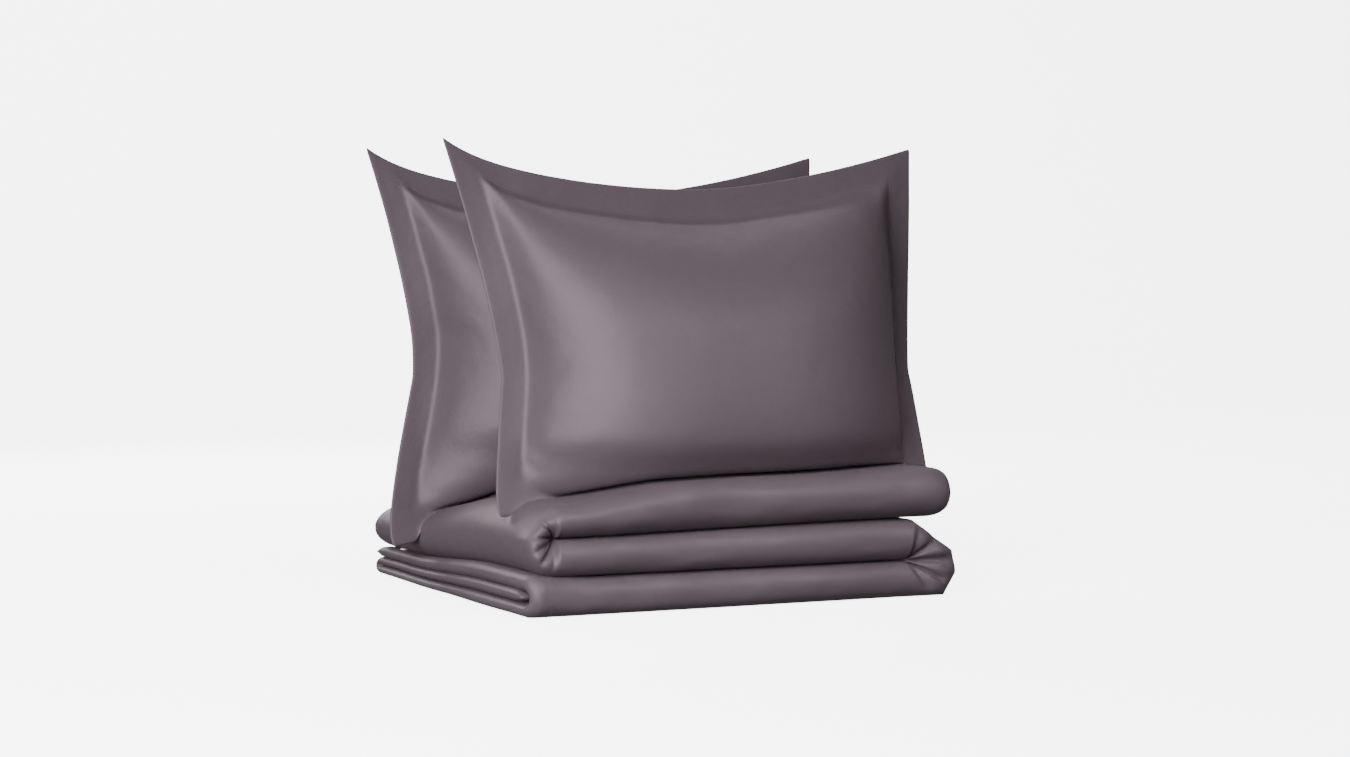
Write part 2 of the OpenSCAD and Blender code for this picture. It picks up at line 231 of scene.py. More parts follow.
def add(tree, kind, links=None, **settings):
    """A node with its settings, its input values and its incoming links."""
    node = tree.nodes.new(kind)
    for key, value in settings.items():
        if hasattr(node, key):
            setattr(node, key, value)
        else:
            node.inputs[key.replace("_", " ")].default_value = value
    for socket, source in (links or {}).items():
        tree.links.new(source, node.inputs[socket])
    return node


def new_material(name, colour, roughness, specular=0.5, sheen=0.0, sheen_roughness=0.5):
    """A plain dielectric, and the object coordinates that its patterns are placed by."""
    material = bpy.data.materials.new(name)
    material.use_nodes = True
    tree = material.node_tree
    shader = tree.nodes["Principled BSDF"]
    for socket, value in (("Base Color", colour), ("Roughness", roughness), ("IOR", 1.5),
                          ("Specular IOR Level", specular), ("Sheen Weight", sheen),
                          ("Sheen Roughness", sheen_roughness)):
        shader.inputs[socket].default_value = value
    return material, tree, shader, add(tree, "ShaderNodeTexCoord").outputs["Object"]


def sateen_material(colours):
    """Cotton sateen, four-over-one weave, piece dyed: a soft sheen over a very fine weave.
    Threads are 0.2 mm apart, too fine to show, so the weave is drawn at 0.9 mm."""
    material, tree, shader, place = new_material("Cotton sateen, dyed", linear(colours.sateen), 0.5,
                                                 specular=0.30, sheen=0.05, sheen_roughness=0.4)
    shader.inputs["Sheen Tint"].default_value = (0.80, 0.66, 0.75, 1.0)
    shader.inputs["Specular Tint"].default_value = (1.0, 0.88, 0.96, 1.0)
    # dye and wear: broad, barely visible clouds of lighter and darker cloth
    cloud = add(tree, "ShaderNodeTexNoise", {"Vector": place}, Scale=9.0, Detail=3.0, Roughness=0.55)
    # slubs: short thicker threads, longer along the warp
    stretch = add(tree, "ShaderNodeMapping", {"Vector": place}, Scale=(900.0, 900.0, 90.0))
    slub = add(tree, "ShaderNodeTexNoise", {"Vector": stretch.outputs["Vector"]}, Scale=1.0, Detail=2.0)
    mix = add(tree, "ShaderNodeMath", {0: cloud.outputs["Fac"], 1: slub.outputs["Fac"]}, operation="ADD")
    ramp = add(tree, "ShaderNodeMapRange", {"Value": mix.outputs["Value"]}, From_Min=0.6, From_Max=1.4,
               To_Min=0.0, To_Max=1.0)
    tone = add(tree, "ShaderNodeMix", {"Factor": ramp.outputs["Result"]}, data_type="RGBA",
               A=shade(colours.sateen, 0.94), B=shade(colours.sateen, 1.06))
    tree.links.new(tone.outputs["Result"], shader.inputs["Base Color"])
    # weave: crossing threads, 0.9 mm apart as drawn
    turned = add(tree, "ShaderNodeMapping", {"Vector": place}, Rotation=(0.0, math.radians(13.0), 0.0))
    warp, weft = (add(tree, "ShaderNodeTexWave", {"Vector": turned.outputs["Vector"]}, wave_type="BANDS",
                      bands_direction=way, Scale=350.0, Distortion=1.0, Detail=1.0) for way in "XZ")
    weave = add(tree, "ShaderNodeMath", {0: warp.outputs["Fac"], 1: weft.outputs["Fac"]},
                operation="MULTIPLY")
    fine = add(tree, "ShaderNodeBump", {"Height": weave.outputs["Value"]}, Strength=0.05, Distance=0.0003)
    # rumple: the soft creases that pressed cloth keeps, 10 to 40 mm apart
    crease = add(tree, "ShaderNodeTexNoise", {"Vector": place}, Scale=38.0, Detail=4.0, Roughness=0.5)
    soft = add(tree, "ShaderNodeBump", {"Height": crease.outputs["Fac"], "Normal": fine.outputs["Normal"]},
               Strength=0.16, Distance=0.006)
    tree.links.new(soft.outputs["Normal"], shader.inputs["Normal"])
    rough = add(tree, "ShaderNodeMapRange", {"Value": slub.outputs["Fac"]}, From_Min=0.3, From_Max=0.7,
                To_Min=0.44, To_Max=0.52)
    tree.links.new(rough.outputs["Result"], shader.inputs["Roughness"])
    return material


def thread_material(colours):
    """Spun polyester sewing thread, twisted: a matt cord with a fine diagonal lay, 0.6 mm a turn."""
    material, tree, shader, place = new_material("Spun polyester thread", linear(colours.thread), 0.6,
                                                 sheen=0.15)
    lay = add(tree, "ShaderNodeTexWave", {"Vector": place}, bands_direction="DIAGONAL", Scale=520.0)
    bump = add(tree, "ShaderNodeBump", {"Height": lay.outputs["Fac"]}, Strength=0.3, Distance=0.0002)
    tree.links.new(bump.outputs["Normal"], shader.inputs["Normal"])
    return material


def ticking_material(colours):
    """Cotton ticking, bleached plain weave: matt and slightly uneven, threads drawn at 1 mm."""
    material, tree, shader, place = new_material("Cotton ticking, bleached", linear(colours.ticking), 0.8,
                                                 specular=0.3, sheen=0.1)
    warp, weft = (add(tree, "ShaderNodeTexWave", {"Vector": place}, bands_direction=way,
                      Scale=310.0, Distortion=0.6) for way in "XZ")
    weave = add(tree, "ShaderNodeMath", {0: warp.outputs["Fac"], 1: weft.outputs["Fac"]},
                operation="MULTIPLY")
    bump = add(tree, "ShaderNodeBump", {"Height": weave.outputs["Value"]}, Strength=0.2, Distance=0.0003)
    tree.links.new(bump.outputs["Normal"], shader.inputs["Normal"])
    return material


def fibre_material(colours):
    """Hollow polyester fibre, carded: a matt white fleece with curls about 3 mm across."""
    material, tree, shader, place = new_material("Polyester fibre wadding", linear(colours.fibre), 0.95,
                                                 specular=0.2, sheen=0.3)
    curl = add(tree, "ShaderNodeTexNoise", {"Vector": place}, Scale=330.0, Detail=4.0, Distortion=1.5)
    tone = add(tree, "ShaderNodeMix", {"Factor": curl.outputs["Fac"]}, data_type="RGBA",
               A=shade(colours.fibre, 0.9), B=shade(colours.fibre, 1.0))
    tree.links.new(tone.outputs["Result"], shader.inputs["Base Color"])
    bump = add(tree, "ShaderNodeBump", {"Height": curl.outputs["Fac"]}, Strength=0.6, Distance=0.002)
    tree.links.new(bump.outputs["Normal"], shader.inputs["Normal"])
    return material


def button_material(colours):
    """Moulded polyester button, polished: pale, with the faint clouding of imitation shell."""
    material, tree, shader, place = new_material("Polyester button, polished", linear(colours.button),
                                                 0.22)
    cloud = add(tree, "ShaderNodeTexNoise", {"Vector": place}, Scale=260.0, Detail=2.0, Distortion=2.0)
    tone = add(tree, "ShaderNodeMix", {"Factor": cloud.outputs["Fac"]}, data_type="RGBA",
               A=shade(colours.button, 0.88), B=shade(colours.button, 1.05))
    tree.links.new(tone.outputs["Result"], shader.inputs["Base Color"])
    return material


def floor_material(colours):
    """Matt studio paper, which glows a little so that it stays white up to the object."""
    material, tree, shader, place = new_material("Studio paper, matt", linear(colours.floor), 0.9,
                                                 specular=0.1)
    shader.inputs["Emission Color"].default_value = (1.0, 1.0, 1.0, 1.0)
    shader.inputs["Emission Strength"].default_value = 5.0
    grain = add(tree, "ShaderNodeTexNoise", {"Vector": place}, Scale=400.0, Detail=2.0)
    bump = add(tree, "ShaderNodeBump", {"Height": grain.outputs["Fac"]}, Strength=0.02, Distance=0.0005)
    tree.links.new(bump.outputs["Normal"], shader.inputs["Normal"])
    return material


MAKERS = {"sateen": sateen_material, "thread": thread_material, "ticking": ticking_material,
          "fibre": fibre_material, "button": button_material, "floor": floor_material}
MADE = {}


def material_for(kind):
    if kind not in MADE:
        MADE[kind] = MAKERS[kind](bpy.context.scene.bedding_colours)
    return MADE[kind]


# ---- the folded duvet ---------------------------------------------------------------

X_FOOT, X_HEAD = -0.3330, 0.3290    # where the strip's foot and head ends lie
RIGHT_NOSE = 0.018                  # how far the right bend's nose stands out past the cover's box
SEAM_ALLOWANCE = 3                  # points left out at each end of a long seam
END_SPARE = 0.03                    # how far the insert stops short of the cover's ends
STITCH_LIFT = 0.0004                # how far the duvet's stitches stand out from the cloth


class Fold:
    """Maps a place on the folded strip to a point of the stack.

    Along the strip, part 0, 2 or 4 is the bottom, middle or top layer, placed by x, and part 1
    or 3 the right or left bend, placed by angle. Across it, y and h are measured in the ply
    section, h from the first ply's outer face to the last ply's outer face."""

    def __init__(self, sizes):
        self.s = sizes
        self.depth = COVER_HIGH[1] - COVER_LOW[1]
        self.x_left = COVER_LOW[0] + sizes.left_reach
        self.x_right = COVER_HIGH[0] + RIGHT_NOSE - sizes.right_reach
        self.x_foot, self.x_head = X_FOOT, X_HEAD
        self.z_bottom = -sizes.ply_gap / 2

    def middle(self, x):
        return lerp(self.s.middle_t_left, self.s.middle_t, between(x, self.x_left, self.x_right))

    def top(self, x):
        return lerp(self.s.top_t_left, self.s.top_t, between(x, self.x_left, self.x_right * 0.9))

    def thickness(self, part, at):
        if part == 0:
            return self.s.bottom_t
        if part == 2:
            return float(self.middle(at))
        if part == 4:
            return float(self.top(at))
        if part == 1:
            return float(lerp(self.s.bottom_t, self.middle(self.x_right), smooth((at + 90) / 180)))
        return float(lerp(self.middle(self.x_left), self.top(self.x_left), smooth((270 - at) / 180)))

    def place(self, part, at, y, h):
        t = self.thickness(part, at)
        low = self.z_bottom + self.s.bottom_t + self.s.fold_gap
        if part == 0:
            return np.stack([np.full_like(y, at), y, self.z_bottom + h], -1)
        if part == 2:
            return np.stack([np.full_like(y, at), y, low + self.middle(at) - h], -1)
        if part == 4:
            return np.stack([np.full_like(y, at), y, low + self.middle(at) + self.s.fold_gap + h], -1)
        c, s = math.cos(math.radians(at)), math.sin(math.radians(at))
        front = between(-y, self.depth / 2 - 0.085, self.depth / 2 - 0.012)
        if part == 1:    # pressed flat underneath, and slanting down from the middle layer to its nose
            r = self.s.fold_gap / 2 + t - h
            ends = (-self.s.fold_gap / 2 - self.s.bottom_t,
                    self.s.fold_gap / 2 + float(self.middle(self.x_right)))
            out = np.interp(at, (-90, -54, -16, 10, 72, 90), (0.0, 0.75, 1.0, 0.915, 0.14, 0.0))
            up = np.interp(at, (-90, -54, -16, 10, 72, 90),
                           (ends[0], ends[0], ends[0] * 0.38, ends[1] * 0.22, ends[1], ends[1]))
            share = r / (self.s.fold_gap / 2 + t)
            return np.stack([self.x_right + self.s.right_reach * share * out, y,
                             low - self.s.fold_gap / 2 + share * up], -1)
        # the left bend is full, and drawn in at the top where it ends at the front
        r = self.s.fold_gap / 2 + h
        wide = self.s.left_reach / (self.s.fold_gap / 2 + t)
        z = low + self.middle(self.x_left) + self.s.fold_gap / 2
        drawn = squareness(c, s, 1.15) if s > 0 else squareness(c, s, 2.4)
        full = squareness(c, s, 1.7) if s > 0 else squareness(c, s, 2.2)
        k = lerp(full, drawn, front)
        return np.stack([self.x_left + wide * r * c * k, y, z + r * s * k], -1)

    def section(self, t, inset):
        """The middle line of the letter-folded ply: points (y, h), its normals, and how far
        each point is from the strip's two free edges."""
        front = -self.depth / 2 + t / 2
        back = self.depth / 2 - t / 3
        edge_b = front + inset
        edge_c = self.depth / 2 - t / 6
        line = [(y, 5 * t / 6, 0.0, 1.0) for y in np.linspace(edge_c, front, 50)[:-1]]
        line += [(front - t / 3 * math.sin(a), t / 2 + t / 3 * math.cos(a), -math.sin(a), math.cos(a))
                 for a in np.linspace(0, math.pi, 25)[:-1]]
        line += [(y, t / 6, 0.0, -1.0) for y in np.linspace(front, back, 50)[:-1]]
        line += [(back + t / 6 * math.sin(a), t / 3 - t / 6 * math.cos(a), math.sin(a), -math.cos(a))
                 for a in np.linspace(0, math.pi, 11)[:-1]]
        line += [(y, t / 2, 0.0, 1.0) for y in np.linspace(back, edge_b, 22)]
        line = np.array(line)
        steps = np.r_[0, np.cumsum(np.hypot(*np.diff(line[:, :2], axis=0).T))]
        edge = np.minimum(steps, steps[-1] - steps)
        return line, edge

    def stations(self):
        s = self.s
        out = []
        ends = np.array([0.0, 0.06, 0.2, 0.42, 0.7, 1.0])
        for d in ends:
            out.append((0, self.x_foot + d * s.foot_round * 1.6))
        start = out[-1][1]
        out += [(0, x) for x in np.linspace(start, self.x_right, 46)[1:]]
        out += [(1, a) for a in np.linspace(-90, 90, 41)[1:-1]]
        out += [(2, x) for x in np.linspace(self.x_right, self.x_left, 34)]
        out += [(3, a) for a in np.linspace(270, 90, 45)[1:-1]]
        stop = self.x_head - s.head_round * 1.3
        out += [(4, x) for x in np.linspace(self.x_left, stop, 46)[:-1]]
        for d in ends[::-1]:
            out.append((4, self.x_head - d * s.head_round * 1.3))
        return out

    def run_length(self, stations):
        """Distance of each station from the nearer end of the strip, foot and head."""
        foot = np.array([x - self.x_foot if part == 0 else 1.0 for part, x in stations])
        head = np.array([self.x_head - x if part == 4 else 1.0 for part, x in stations])
        return foot, head


def squareness(c, s, power):
    """Scale that turns a point of a circle into one of a superellipse: power 1 is a diamond,
    2 a circle and 4 nearly square."""
    return (abs(c) ** power + abs(s) ** power) ** (-1 / power)


def rounding(distance, span):
    """Half an ellipse: 0 at an edge, 1 from span inwards."""
    k = np.clip(distance / span, 0, 1)
    return np.sqrt(1 - (1 - k) ** 2)


def pleats(angle, radius, count, seed):
    """Sharp-valleyed radial pleats, deeper towards the crease. angle in degrees, radius 0 to 1."""
    phase = np.radians(angle) * count / 2 + 0.9 * ripple(np.stack(
        [np.radians(angle) * 1.3, np.zeros_like(radius), np.zeros_like(radius)], -1), 1.0, seed)
    wave = np.abs(np.sin(phase))
    return (1 - wave) ** 1.2 * between(-radius, -1.0, -0.7) * between(radius, 0.0, 0.25)


def folded_points(fold, grow=0.0):
    """Rings of points round the folded strip, one ring for each station. grow moves the surface
    outwards from the cover's face, or inwards where it is negative."""
    s = fold.s
    stations = fold.stations()
    foot, head = fold.run_length(stations)
    rings = []
    for (part, at), d_foot, d_head in zip(stations, foot, head):
        t = fold.thickness(part, at)
        line, edge = fold.section(t, lerp(0.0030, s.flap_inset, float(between(d_foot, 0.0, 0.10))))
        half = (t / 6 - s.ply_gap / 2) * rounding(edge + 0.0004, 0.010)
        half = half * float(rounding(np.array(d_foot + 0.0004), s.foot_round))
        half = half * float(rounding(np.array(d_head + 0.0004), s.head_round))
        half = np.maximum(half + grow, 0.0006)
        y, h, ny, nh = line.T
        if part == 0:    # the loose plies lift a little at the foot end
            lift = 1 - between(d_foot, 0.0, 0.11)
            h = h + lift * np.interp(h / t, [0, 0.2, 0.5, 0.85, 1], [0, 0.0012, 0.002, 0.004, 0.004])
            half = half * (1 + lift * (0.10 + 0.28 * between(h / t, 0.6, 0.9)))
        outer = fold.place(part, at, y + half * ny, h + half * nh)
        inner = fold.place(part, at, y - half * ny, h - half * nh)
        rings.append(np.concatenate([outer, inner[::-1]]))
    return np.array(rings), stations


# soft irregularities: how the coordinates are stretched, the size across, the seed and the height
ROLLS = (((1.0, 0.35, 1.6), 0.085, 1, 0.0032), ((1.0, 0.5, 2.2), 0.034, 2, 0.0010))
DENTS = ((1.0, 1.0, 0.6), 0.16, 4, 0.0020)
LEFT_BULGES = ((1.0, 1.0, 1.4), 0.10, 5, 0.0035)
RIGHT_BULGES = ((1.0, 1.0, 1.4), 0.07, 6, 0.0035)
FOOT_WAVES = ((0.0, 1.0, 3.0), 0.12, 7, 0.0045)
PULL_SIZE, PULL_HEIGHT = 0.026, 0.0022    # the diagonal pulls at the front of the top layer
# zones: where, in metres along an axis, a change begins and where it is full
FRONT_ZONE, TOP_ZONE = (-0.055, -0.002), (0.14, 0.17)
LEFT_ZONE, RIGHT_ZONE, FOOT_ZONE = (0.30, 0.325), (0.29, 0.32), (0.24, 0.33)
PULL_ZONE, SHOULDER_ZONE = (-0.10, 0.16), (0.11, 0.30)
SAG_ZONE_X, SAG_ZONE_Y = (0.06, 0.31), (-0.16, 0.20)
PLEAT_COUNTS = {1: 11, 3: 13}           # for the right and the left bend
HOLLOWS = {1: 0.012, 3: 0.020}          # how far the middle of a bend's front is drawn in
SHOULDER_DROP = 0.33                    # share of the top layer's height lost at its left shoulder
CORNER_ROUND = 0.013                    # how far the foot end's front corner is rounded off


def rumple(points, kind):
    """Height of one kind of soft irregularity at each point."""
    stretch, size, seed, height = kind
    return ripple(points * stretch, size, seed) * height


def settle(points, fold, stations):
    """The soft irregularities of the stack: pleats at the bends, rumples, and the sag."""
    s = fold.s
    p = points.copy()
    front = -fold.depth / 2
    near_front = between(-(p[..., 1] - front), *FRONT_ZONE)
    low = fold.z_bottom + s.bottom_t + s.fold_gap
    for k, (part, at) in enumerate(stations):
        ring = p[k]
        if part == 1 or part == 3:
            centre = (np.array([fold.x_right, low - s.fold_gap / 2]) if part == 1 else
                      np.array([fold.x_left, low + float(fold.middle(fold.x_left)) + s.fold_gap / 2]))
            reach = s.right_reach if part == 1 else s.left_reach
            high = fold.thickness(part, at)
            r = np.hypot((ring[:, 0] - centre[0]) / reach, (ring[:, 2] - centre[1]) / high)
            ends = 1 - float(between(abs(at - (0 if part == 1 else 180)), 50, 88))
            angle = np.full_like(r, float(at))
            depth = pleats(angle, r, PLEAT_COUNTS[part], 3 if part == 3 else 8)
            hollow = between(-r, -0.90, -0.05) * HOLLOWS[part]
            deep = s.pleat_depth * (1.0 if part == 3 else 1.5)
            ring[:, 1] += near_front[k] * ends * (depth * deep + hollow)
    # long soft rolls along the front of each layer, and dents in the broad faces
    p[..., 1] += near_front * (rumple(p, ROLLS[0]) + rumple(p, ROLLS[1]))
    slant = np.stack([p[..., 0] + 1.1 * p[..., 2], p[..., 1] * 0.3, 0.2 * (p[..., 2] - p[..., 0])], -1)
    pulled = near_front * between(-p[..., 0], *PULL_ZONE)
    p[..., 1] += pulled * ripple(slant, PULL_SIZE, 9) * PULL_HEIGHT
    p[..., 2] += between(p[..., 2], *TOP_ZONE) * (rumple(p, DENTS) - 0.0012)
    p[..., 0] += between(-p[..., 0], *LEFT_ZONE) * rumple(p, LEFT_BULGES)
    p[..., 0] += between(p[..., 0], *RIGHT_ZONE) * rumple(p, RIGHT_BULGES)
    # the top layer slopes down towards the left bend
    crease = low + float(fold.middle(fold.x_left))
    shoulder = between(-p[..., 0], *SHOULDER_ZONE) * (p[..., 2] > crease)
    lowered = crease + (p[..., 2] - crease) * (1 - SHOULDER_DROP * shoulder)
    p[..., 2] = np.where(p[..., 2] > crease, lowered, p[..., 2])
    # the foot end's front corner is rounded in plan
    corner = between(-p[..., 1], 0.292, 0.326) ** 2 * between(-p[..., 0], 0.28, 0.333)
    p[..., 0] += CORNER_ROUND * corner * (p[..., 2] < 0.056)
    # the foot end isn't quite straight
    foot = between(-p[..., 0], *FOOT_ZONE) * between(-p[..., 2], -0.075, -0.045)
    p[..., 0] += foot * (rumple(p, FOOT_WAVES) - 0.001)
    # the stack sinks towards the back left, where the rear pillow leans on the bend
    away = between(-p[..., 0], *SAG_ZONE_X) * between(p[..., 1], *SAG_ZONE_Y)
    p[..., 2] *= 1 - s.sag * away
    p[..., 0] -= 0.010 * away * between(-p[..., 0], 0.25, 0.33) * between(p[..., 2], 0.03, 0.07)
    p[..., 2] = np.maximum(p[..., 2], 0.0002)
    return p


def outward(points, rows, columns):
    """Unit vectors out of the cover's outer face, along one column or one row of the rings."""
    thick = (points - points[:, ::-1])[rows, columns]
    return thick / np.maximum(np.linalg.norm(thick, axis=-1, keepdims=True), 1e-9)


def strip_faces(rings, per_ring):
    """Quads between the rings, and the two ends closed between their outer and inner lines."""
    faces = []
    for j in range(rings - 1):
        a, b = j * per_ring, (j + 1) * per_ring
        for i in range(per_ring):
            k = (i + 1) % per_ring
            faces.append((a + i, a + k, b + k, b + i))
    half = per_ring // 2
    last = (rings - 1) * per_ring
    for i in range(half - 1):
        o, q = per_ring - 1 - i, per_ring - 2 - i
        faces.append((i, o, q, i + 1))
        faces.append((last + i, last + i + 1, last + q, last + o))
    return faces


class BEDDING_OT_duvet_cover(bpy.types.Operator):
    """Sweep the letter-folded section of the cover along the folded strip"""
    bl_idname = "bedding.duvet_cover"
    bl_label = "Duvet Cover"

    def execute(self, context):
        fold = Fold(context.scene.bedding_duvet)
        rings, stations = folded_points(fold)
        points = settle(rings, fold, stations)
        cover = piece_from("duvet_cover", points.reshape(-1, 3), strip_faces(*points.shape[:2]),
                           material_for("sateen"), "duvet")
        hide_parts("duvet_cover_face", "duvet_cover_reverse", "foot_hem_face",
                    "foot_hem_reverse", "head_seam")
        SURFACES["duvet"] = BVHTree.FromPolygons([v.co for v in cover.data.vertices],
                                                 [p.vertices for p in cover.data.polygons])
        half = points.shape[1] // 2
        along = slice(SEAM_ALLOWANCE, -SEAM_ALLOWANCE)
        foot = [k for k, (part, at) in enumerate(stations) if part == 0 and at > fold.x_foot + 0.026][0]
        # the two long seams, in from the free edges, and the hem across the foot
        lines = [(along, SEAM_ALLOWANCE), (along, half - SEAM_ALLOWANCE - 1), (foot, slice(0, half))]
        edges = [points[line] + outward(points, *line) * STITCH_LIFT for line in lines]
        seams = stitched_line("duvet_seam_stitches", edges, context.scene.bedding_pillow, "duvet")
        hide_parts("side_seams")
        return {"FINISHED"}


class BEDDING_OT_duvet_insert(bpy.types.Operator):
    """Build the insert inside the cover: its ticking, and the filling inside that"""
    bl_idname = "bedding.duvet_insert"
    bl_label = "Duvet Insert"

    def execute(self, context):
        fold = Fold(context.scene.bedding_duvet)
        for name, grow, kind, slot, nodes in (
                ("duvet_insert", -0.0022, "ticking", "insert_cotton",
                 ("insert_ticking_face", "insert_ticking_reverse", "insert_baffles", "corner_ties")),
                ("duvet_filling", -0.0036, "fibre", "hollow_fibre", ("insert_fill",))):
            rings, stations = folded_points(fold, grow)
            points = settle(rings, fold, stations)
            keep = [k for k, (part, at) in enumerate(stations)
                    if not (part == 0 and at < INSERT_LOW[0] + END_SPARE)
                    and not (part == 4 and at > fold.x_head - END_SPARE)]
            points = points[keep]
            piece = piece_from(name, points.reshape(-1, 3), strip_faces(*points.shape[:2]),
                               material_for(kind), "duvet")
            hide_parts(*nodes)
        return {"FINISHED"}


# ---- the pillows --------------------------------------------------------------------

LOW_LEFT_SAG = {"front": 0.0, "rear": 0.068}    # how far each lower left corner sags over the bend
SEAM_FORWARD = 0.0015                           # how far the seam stands in front of the flange's box
REST_GAP = 0.0012                               # room left between the duvet and a sham
SEAM_WAIST, FLANGE_WAIST = 0.2860, 0.3264       # half widths where the sides are drawn in furthest
SEAM_TOP, SEAM_LOW = 0.3605, -0.0460            # heights over the rest, in the middle of the sham
FLANGE_TOP = 0.4040                             # height of the flange's top edge, in the middle
TIP_TOP, TIP_LOW = 0.473, -0.058                # heights of the flange's four tips
OUT_FROM_SEAM = 0.30                            # where the stitching runs, as a share of a cell


class Sham:
    """Shape of a filled sham, in its own frame: x across, z up from its rest, y through it.
    It is set out on the flat cloth, as a grid of cells over its front and over its back.
    low_left is how far its lower left corner sags over the bend of the duvet."""

    def __init__(self, sizes, centre_x, seam_y, rest_z, low_left):
        self.s = sizes
        self.cx, self.y0, self.z0 = centre_x, seam_y, rest_z
        self.low_left = low_left
        self.nx = round(sizes.sham_w / sizes.cell)
        self.nz = round(sizes.sham_h / sizes.cell)
        self.k = round(sizes.flange_w / sizes.cell)

    def across(self, u):
        return 0.62 * u + 0.38 * np.sin(u * math.pi / 2)

    def top_curve(self, a):
        """0 in the middle of the top edge and 1 at its corners, the left one drawn up more sharply."""
        s = np.abs(a)
        return np.where(a < 0, 0.72 * s ** 2.1 + 0.28 * s ** 9, s ** 1.62)

    def seam(self, u, v):
        """Point of the pocket's middle surface, in a frame that stands upright."""
        a, b = self.across(u), self.across(v)
        up, down = np.clip((b + 0.2) / 1.2, 0, 1), np.clip((-0.2 - b) / 0.8, 0, 1)
        half = SEAM_WAIST + 0.0480 * up ** 1.5 + 0.0220 * down ** 1.6 + 0.016 * (1 - b ** 2) * (a > 0)
        top = SEAM_TOP + 0.0625 * self.top_curve(a)
        low = lerp(SEAM_LOW, np.where(a < 0, -0.0080, -0.0530), np.abs(a) ** 7)
        back = -0.008 * (1 - b ** 2) * np.abs(a) ** 2
        return np.stack([a * half, back, lerp(low, top, (b + 1) / 2)], -1)

    def outer_side(self, side, sv):
        """Outer edge of the flange at a side, drawn in between its two tips."""
        up, down = np.clip((sv + 0.27) / 1.27, 0, 1), np.clip((-0.27 - sv) / 0.73, 0, 1)
        x = FLANGE_WAIST + 0.0541 * up ** 1.25 + 0.0235 * down ** 0.9 - 0.0085 * down ** 12
        x = x + np.where(side < 0, -0.004, 0.009) * (1 - sv ** 2)
        forward = np.where(side < 0, -0.004, 0.002)    # the flange turns a little towards the front
        return np.stack([side * x, forward * (1 - sv ** 2), lerp(TIP_LOW, TIP_TOP, (sv + 1) / 2)], -1)

    def outer_end(self, su, end):
        """Outer edge of the flange at the top, or at the bottom, where it lies folded under the
        pillow except at its two tips."""
        a = self.across(su)
        hang = between(np.abs(a), 0.50, 0.80)
        top = np.stack([0.3805 * a, 0.006 * (1 - a ** 2), FLANGE_TOP + 0.0690 * self.top_curve(a)], -1)
        low = np.stack([0.3414 * a, 0.046 * (1 - hang), lerp(-0.048, TIP_LOW, hang)], -1)
        return np.where((end > 0)[..., None], top, low)

    def set_out(self):
        """Middle surface of the cloth, and how far the pocket stands out from it on either side."""
        s = self.s
        X = np.linspace(-s.sham_w / 2, s.sham_w / 2, self.nx + 1)
        Z = np.linspace(-s.sham_h / 2, s.sham_h / 2, self.nz + 1)
        X, Z = np.meshgrid(X, Z)
        pw, ph = s.sham_w / 2 - s.flange_w, s.sham_h / 2 - s.flange_w
        u, v = np.clip(X / pw, -1, 1), np.clip(Z / ph, -1, 1)
        p = np.clip((np.abs(X) - pw) / s.flange_w, 0, 1)[..., None]
        q = np.clip((np.abs(Z) - ph) / s.flange_w, 0, 1)[..., None]
        su, sv = X / (s.sham_w / 2), Z / (s.sham_h / 2)
        cu = np.clip(su, -2 * pw / s.sham_w, 2 * pw / s.sham_w)
        cv = np.clip(sv, -2 * ph / s.sham_h, 2 * ph / s.sham_h)
        side, end = np.where(X < 0, -1.0, 1.0), np.where(Z < 0, -1.0, 1.0)
        seam = self.seam(u, v)
        at_side, at_end = self.outer_side(side, cv), self.outer_end(cu, end)
        tip = self.outer_side(side, end)
        mid = ((1 - q) * lerp(seam, at_side, p) + q * self.outer_end(su, end)
               + (1 - p) * lerp(seam, at_end, q) + p * self.outer_side(side, sv)
               - lerp(lerp(seam, at_side, p), lerp(at_end, tip, p), q))
        a, b = np.abs(self.across(u)), self.across(v)
        lower = np.clip(-b, 0, 1)
        full = np.clip((1 - a ** 2.9) * (1 - np.abs(b) ** (2.7 + 0.9 * lower)), 0, None) ** 0.84
        # the seams gather the cloth into short puckers
        flat = np.stack([X, Z, np.zeros_like(X)], -1)
        from_side, from_end = (1 - np.abs(u)) * pw, (1 - np.abs(v)) * ph
        pucker = (ripple(flat * [0.4, 1.0, 1.0], 0.020, 11) * np.exp(-from_side / 0.030)
                  + ripple(flat * [1.0, 0.4, 1.0], 0.024, 12) * np.exp(-from_end / 0.030) * 0.7)
        on_pocket = (p[..., 0] + q[..., 0]) == 0
        proud = (s.thickness / 2) * full + 0.0032 * pucker * on_pocket * (full > 0)
        on_seam = on_pocket & (full <= 0)
        sheet = np.where(on_seam, 0.0006, 0.0013)
        bottom = q[..., 0] * (Z < 0)
        return mid, np.maximum(proud, sheet), bottom, full

    def shape(self):
        """Front and back grids in the stack's frame, lying on the duvet."""
        s = self.s
        mid, proud, bottom, full = self.set_out()
        both = []
        duvet = SURFACES["duvet"]
        for side in (-1, 1):
            x, y, z = mid[..., 0].copy(), mid[..., 1] + side * proud, mid[..., 2].copy()
            corner = between(-x, 0.06, 0.36) ** 1.4 * between(-z, -0.20, 0.03)
            z -= self.low_left * corner
            x -= 0.5 * self.low_left * corner
            x += self.cx
